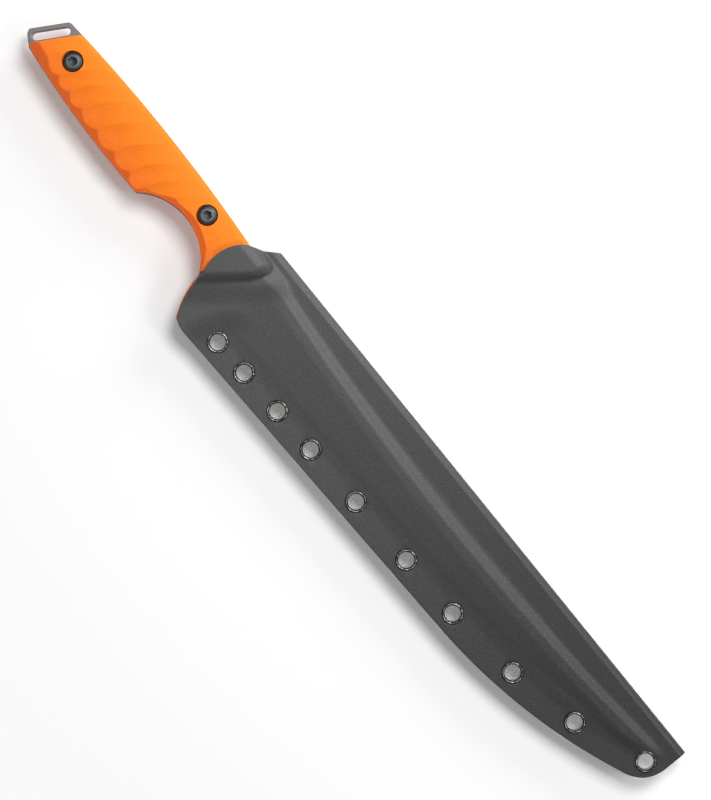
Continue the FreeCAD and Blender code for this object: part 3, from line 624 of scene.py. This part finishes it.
# ---- rivets -------------------------------------------------------------------------------------
RIVET_ROLL = [
    (3.0, 1.5),
    (3.03, 1.9),
    (3.1, 2.2),
    (3.24, 2.5),
    (3.42, 2.7),
    (3.62, 2.78),
    (3.82, 2.72),
    (3.98, 2.56),
    (4.1, 2.34),
    (4.15, 2.15),
    (4.08, 2.05),
    (3.8, 2.04),
]
RIVET_BARREL = [(3.4, 1.9), (3.4, -1.9)]


def make_rivet(node, finish):
    """A hollow rivet: its barrel, and a rolled flange at each end."""
    lower_roll = [(r, -z) for r, z in reversed(RIVET_ROLL)]
    profile = lower_roll + RIVET_ROLL + RIVET_BARREL + lower_roll[:1]
    bm = turned(profile, 64, middle_of(node)[:2])
    number = node.rsplit("_", 1)[1]
    new_piece(bm, f"rolled_rivet_{number}", finish, "sheath", [node], 0)


# ---- handle scales ------------------------------------------------------------------------------
TANG_FACE = 1.5
HEAD_SEAT = 4.3  # the floor of the counterbores
SCALE_TOP = 6.9
TONGUE_TOP = 2.4
CROWN_LINE = -17.5  # y of the crown's highest line
BACK_ROUND = 2.4
SCALLOP_DEPTH = 1.25
LIP_WEAR = 0.5
REAR_CHAMFER, CHAMFER_SLOPE = 0.9, 1.2
LEDGE_WIDTH = 0.7
COUNTERBORE, SHAFT_HOLE = 4.08, 3.3
# the belly's bevel: places along x, and its width or depth there
BEVEL_WIDTH = [-118, -60, -53, -46, -18, -12], [4.0, 4.3, 2.2, 2.3, 2.5, 0.5]
BEVEL_DEPTH = [-60, -50], [2.5, 1.4]
BEVEL_END = -28.6  # y below which there is no bevel
REAR_TOP = (-117.2, -6.9)
RIDGES = np.array([-112.0, -103.6, -96.3, -88.4, -78.5, -68.2, -58.6, -50.6, -42.4, -33.5])

back_arc = bow(REAR_TOP, (-68, -4.9), (-10, -7.2), 80)
scale_back_line = Outline([(-109.9, -6.28)], [p for p in back_arc if p[0] > -109.5], [(5, -8.62)])
scale_belly_line = Outline(
    bow((-119.4, -24.6), (-88, -27.6), (-51.9, -27.8), 60),
    bow((-51.9, -27.8), (-32, -19.15), (-13.3, -28.5), 60),
    bow((-13.3, -28.5), (-11.1, -36.8), (-6.8, -44.7), 30),
    bow((-6.8, -44.7), (-4.2, -46.1), (-2.4, -44.4), 12),
)
scale_rear_line = Outline([(-109.9, -6.28), (-119.5, -22.9), (-119.75, -23.8), (-119.4, -24.6)])
scale_front_line = Outline([(5, -8.62), (5, -27.2), (1, -33.2), (-2.4, -44.4)])


def scallops(x, y):
    """Depth of the scallops: curved grooves that meet in sharp ridges and fade towards the back."""
    up = np.maximum(y + 24.5, -4)
    root = x - 0.15 * up - 0.026 * np.abs(up) * up
    place = np.interp(root, RIDGES, np.arange(len(RIDGES)))
    share = place - np.floor(place)
    hollow = 1 - (2 * share - 1) ** 2
    lengthways = np.interp(x, [-113, -107, -60, -50, -38, -30], [0, 0.8, 1.0, 0.75, 0.5, 0])
    return SCALLOP_DEPTH * hollow * lengthways * mix(0.12, 1.0, ramp((-y - 6.5) / 15))


def scale_height(x, y):
    """Height of a scale's face over the middle of the blade, and where it is cut by the belly's bevel."""
    from_back = np.abs(np.interp(x, *scale_back_line.points.T) - y)
    from_belly = scale_belly_line.distance(x, y)
    from_rear = scale_rear_line.distance(x, y)
    crown = np.where(y > CROWN_LINE, 0.016, 0.006) * (y - CROWN_LINE) ** 2
    face = SCALE_TOP - crown - scallops(x, y)
    in_round = BACK_ROUND - np.minimum(from_back, BACK_ROUND)
    face = face - BACK_ROUND + np.sqrt(BACK_ROUND**2 - in_round**2)
    # worn down a little where the sheath's lip meets it
    beside_lip = ramp(1 - mouth_line.distance(x, y) / 3.0)
    face = face - LIP_WEAR * beside_lip * ramp((-y - 8) / 2) * ramp((y + 24) / 5)
    into_bevel = 1 - from_belly / np.interp(x, *BEVEL_WIDTH)
    bevel = SCALE_TOP - np.interp(x, *BEVEL_DEPTH) * into_bevel
    cut = (bevel < face) & (y > BEVEL_END)
    face = np.minimum(face, bevel)
    face = np.minimum(face, SCALE_TOP - REAR_CHAMFER + from_rear * CHAMFER_SLOPE)
    past = np.maximum(past_ledge(x, y), x)
    tongue = TONGUE_TOP - 0.3 * ramp(1 - from_belly / 0.4)
    return mix(face, tongue, ramp((past + 0.4) / LEDGE_WIDTH)), cut


def make_scale(name, side, bolts, finishes, node):
    """A carved handle scale with a counterbored hole at each bolt; its cut edges show the layers."""
    bm, u, v = plane_net(330, 66)
    x, y = laid_between(
        scale_back_line, scale_belly_line, scale_rear_line, scale_front_line, u, v
    )
    height, cut = scale_height(x, y)
    set_places(bm, x, y, height)
    for face in bm.faces:
        face.material_index = int(sum(cut[v.index] for v in face.verts) >= 2)
    open_round_holes(bm, bolts, COUNTERBORE)
    rims = [e for e in bm.edges if e.is_boundary]

    def bolt_near(co):
        return min(bolts, key=lambda b: math.hypot(co.x - b[0], co.y - b[1]))

    def in_hole(edge):
        co = edge.verts[0].co
        return math.dist(co[:2], bolt_near(co)) < COUNTERBORE + 0.12

    def to_shaft(co):
        return pushed_out(co, bolt_near(co), SHAFT_HOLE)

    holes = [e for e in rims if in_hole(e)]
    outer = [e for e in rims if not in_hole(e)]
    for move in (to_level(HEAD_SEAT), to_shaft, to_level(TANG_FACE)):
        holes = carry_edges(bm, holes, move)
    outer = carry_edges(bm, outer, to_level(TANG_FACE))
    for edge in outer:
        for face in edge.link_faces:
            face.material_index = 1
    bmesh.ops.triangle_fill(bm, use_beauty=True, use_dissolve=False, edges=holes + outer)
    bmesh.ops.scale(bm, vec=(1, 1, side), verts=bm.verts)
    piece = new_piece(bm, name, finishes[0], "knife", [node], 35)
    piece.data.materials.append(finishes[1])


# ---- handle bolts -------------------------------------------------------------------------------
KEY_REACH = 1.6  # half the width of the hexagon socket
SOCKET_DEPTH = 1.45
HEAD = [
    (3.8, HEAD_SEAT),
    (3.8, HEAD_SEAT + 1.0),
    (3.72, HEAD_SEAT + 1.25),
    (3.45, HEAD_SEAT + 1.52),
    (3.05, HEAD_SEAT + 1.78),
    (2.62, HEAD_SEAT + 1.98),
    (2.5, HEAD_SEAT + 2.08),
    (2.42, HEAD_SEAT + 2.12),
    (2.12, HEAD_SEAT + 2.12),
    (2.0, HEAD_SEAT + 2.04),
]
SCREW_SHANK = [
    (0.6, HEAD_SEAT - 5.2),
    (1.7, HEAD_SEAT - 5.2),
    (2.05, HEAD_SEAT - 4.8),
    (2.05, HEAD_SEAT),
]
POST_BARREL = [
    (0.6, HEAD_SEAT - 6.6),
    (2.12, HEAD_SEAT - 6.6),
    (2.12, -HEAD_SEAT + 1.2),
    (2.3, -HEAD_SEAT + 1.0),
    (3.0, -HEAD_SEAT + 1.0),
    (3.17, -HEAD_SEAT + 1.2),
    (3.17, HEAD_SEAT),
]


def make_bolt(name, node, side, shank, finish):
    """A bolt's low domed head with a flat ring and a hexagon socket, on its screw or barrel."""
    bm = turned(shank + HEAD, 48)
    top = HEAD[-1][1]
    ring = [e for e in bm.edges if e.is_boundary and abs(e.verts[0].co.z - top) < 1e-3]

    def to_hexagon(co):
        angle = math.atan2(co.y, co.x)
        reach = KEY_REACH / math.cos((angle + math.pi / 6) % (math.pi / 3) - math.pi / 6)
        return Vector((reach * math.cos(angle), reach * math.sin(angle), top))

    ring = carry_edges(bm, ring, to_hexagon)
    ring = carry_edges(bm, ring, to_level(top - SOCKET_DEPTH))
    # the drill's cone in the floor of the socket
    carry_edges(bm, ring, lambda co: Vector((co.x * 0.02, co.y * 0.02, top - SOCKET_DEPTH - 0.35)))
    bmesh.ops.holes_fill(bm, edges=bm.edges, sides=0)
    bmesh.ops.scale(bm, vec=(1, 1, side), verts=bm.verts)
    bmesh.ops.translate(bm, vec=(*middle_of(node)[:2], 0), verts=bm.verts)
    new_piece(bm, name, finish, "knife", [node], 30)


# ---- the blade ----------------------------------------------------------------------------------
TANG_END = 7.5


def make_blade(finish):
    """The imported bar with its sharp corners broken, but for the blade's own edge and point."""
    bm = bmesh.new()
    bm.from_mesh(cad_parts["blade"].data)
    bmesh.ops.remove_doubles(bm, verts=bm.verts, dist=2e-6)
    bmesh.ops.dissolve_limit(
        bm, angle_limit=math.radians(0.5), verts=bm.verts, edges=bm.edges, delimit=set()
    )
    bmesh.ops.transform(bm, matrix=TO_PLACE.inverted(), verts=bm.verts)
    bevel = dict(offset_type="OFFSET", affect="EDGES", profile=0.5, material=-1, clamp_overlap=True)
    butt_corner = [
        e for e in bm.edges if all(math.dist(v.co[:2], REAR_TOP) < 1.5 for v in e.verts)
    ]
    bmesh.ops.bevel(bm, geom=butt_corner, offset=1.0, segments=4, **bevel)
    corners = [
        e
        for e in bm.edges
        if e.is_manifold
        and e.calc_face_angle(0) > math.radians(60)
        and max(v.co.x for v in e.verts) < TANG_END
    ]
    bmesh.ops.bevel(bm, geom=corners, offset=0.22, segments=2, **bevel)
    new_piece(bm, "ground_bar", finish, "knife", ["blade"], 25)


# ---- build --------------------------------------------------------------------------------------
rivet_nodes = sorted(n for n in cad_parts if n.startswith("sheath_rivet"))
make_sheet(moulded_sheet_finish())
rivet_finish = aged_rivet_finish()
for node in rivet_nodes:
    make_rivet(node, rivet_finish)
laminate = (
    composite_finish("orange_laminate", *FACE_LAMINATE),
    composite_finish("orange_laminate_cut", *CUT_FACE_AND_BELLY_SHADE),
)
bolt_places = [tuple(middle_of(f"{end}_handle_screw")[:2]) for end in ("front", "rear")]
make_scale("carved_front_scale", 1, bolt_places, laminate, "front_scale")
make_scale("carved_back_scale", -1, bolt_places, laminate, "back_scale")
oxide = black_oxide_finish()
for end in ("front", "rear"):
    make_bolt(f"{end}_bolt_screw", f"{end}_handle_screw", 1, SCREW_SHANK, oxide)
    make_bolt(f"{end}_bolt_barrel", f"{end}_handle_post", -1, POST_BARREL, oxide)
make_blade(satin_steel_finish())


# ---- studio -------------------------------------------------------------------------------------
WHITE = (1, 1, 1, 1)


def make_floor():
    """A table that keeps the shadow; it looks a little paler than it lights, and white far away."""
    bm = bmesh.new()
    bmesh.ops.create_grid(bm, x_segments=1, y_segments=1, size=6)
    mesh = bpy.data.meshes.new("table")
    bm.to_mesh(mesh)
    bm.free()
    finish = Finish("pale_table")
    rays = finish.node("LightPath").outputs
    camera_ray, glossy_ray, clear_ray = (
        Number(finish, rays[f"Is {kind} Ray"]) for kind in ("Camera", "Glossy", "Transmission")
    )
    seen = camera_ray.most(glossy_ray).most(clear_ray)
    matt = finish.node("BsdfDiffuse", None, {"Color": (0.93, 0.93, 0.93, 1)}).outputs[0]
    glow = finish.node("Emission", None, {"Color": WHITE, "Strength": 0.15}).outputs[0]
    paler = finish.node("AddShader", None, {0: matt, 1: glow}).outputs[0]
    white = finish.node("Emission", None, {"Color": WHITE, "Strength": 1.0}).outputs[0]
    x, y = (abs(finish.axis(name)) for name in "XY")
    away = (((x - 0.16).most(0) ** 2) + y**2) ** 0.5
    near = finish.node("MixShader", None, {0: seen, 1: matt, 2: paler}).outputs[0]
    far = seen * away.between(0.06, 0.3)
    shown = finish.node("MixShader", None, {0: far, 1: near, 2: white}).outputs[0]
    finish.node("OutputMaterial", None, {"Surface": shown})
    mesh.materials.append(finish.material)
    table = bpy.data.objects.new("table", mesh)
    bpy.context.scene.collection.objects.link(table)


def make_world():
    """An even pale room."""
    world = bpy.data.worlds.new("room")
    world.use_nodes = True
    room = world.node_tree.nodes["Background"].inputs
    room["Color"].default_value = WHITE
    room["Strength"].default_value = 0.22
    bpy.context.scene.world = world


def add_lamp(name, place, aim, size, watts):
    """A square softbox that faces a point."""
    light = bpy.data.lights.new(name, "AREA")
    light.size = size
    light.energy = watts
    lamp = bpy.data.objects.new(name, light)
    lamp.location = place
    lamp.rotation_euler = (Vector(aim) - Vector(place)).to_track_quat("-Z", "Y").to_euler()
    bpy.context.scene.collection.objects.link(lamp)


make_floor()
make_world()
add_lamp("key", (-0.1, 0.38, 0.8), (-0.02, 0, 0), 0.34, 4.6)
add_lamp("edge", (-0.12, 0.85, 0.34), (0, 0, 0), 0.4, 3.6)
add_lamp("side", (0.42, 0.36, 0.6), (0, 0, 0), 0.2, 1.1)
add_lamp("fill", (0.1, -0.9, 0.6), (0, 0, 0), 0.8, 0.6)

# The camera looks straight down at the knife, which slants across the view.
SLANT = math.radians(51)
LENS, SENSOR = 110.0, 36.0
VIEW_HEIGHT = 0.2996  # what the view takes in, top to bottom, at the level below
VIEW_LEVEL = 3 * MM
VIEW_MIDDLE = (60.34, -12.96, 0)
camera_data = bpy.data.cameras.new("overhead")
camera_data.lens = LENS
camera_data.sensor_width = SENSOR
camera = bpy.data.objects.new("overhead", camera_data)
below = DATUM + Vector(VIEW_MIDDLE) * MM
camera.location = below + Vector((0, 0, VIEW_HEIGHT * LENS / SENSOR + VIEW_LEVEL))
camera.rotation_euler = (0, 0, SLANT)
bpy.context.scene.collection.objects.link(camera)
bpy.context.scene.camera = camera
bpy.context.scene.view_settings.view_transform = "Standard"
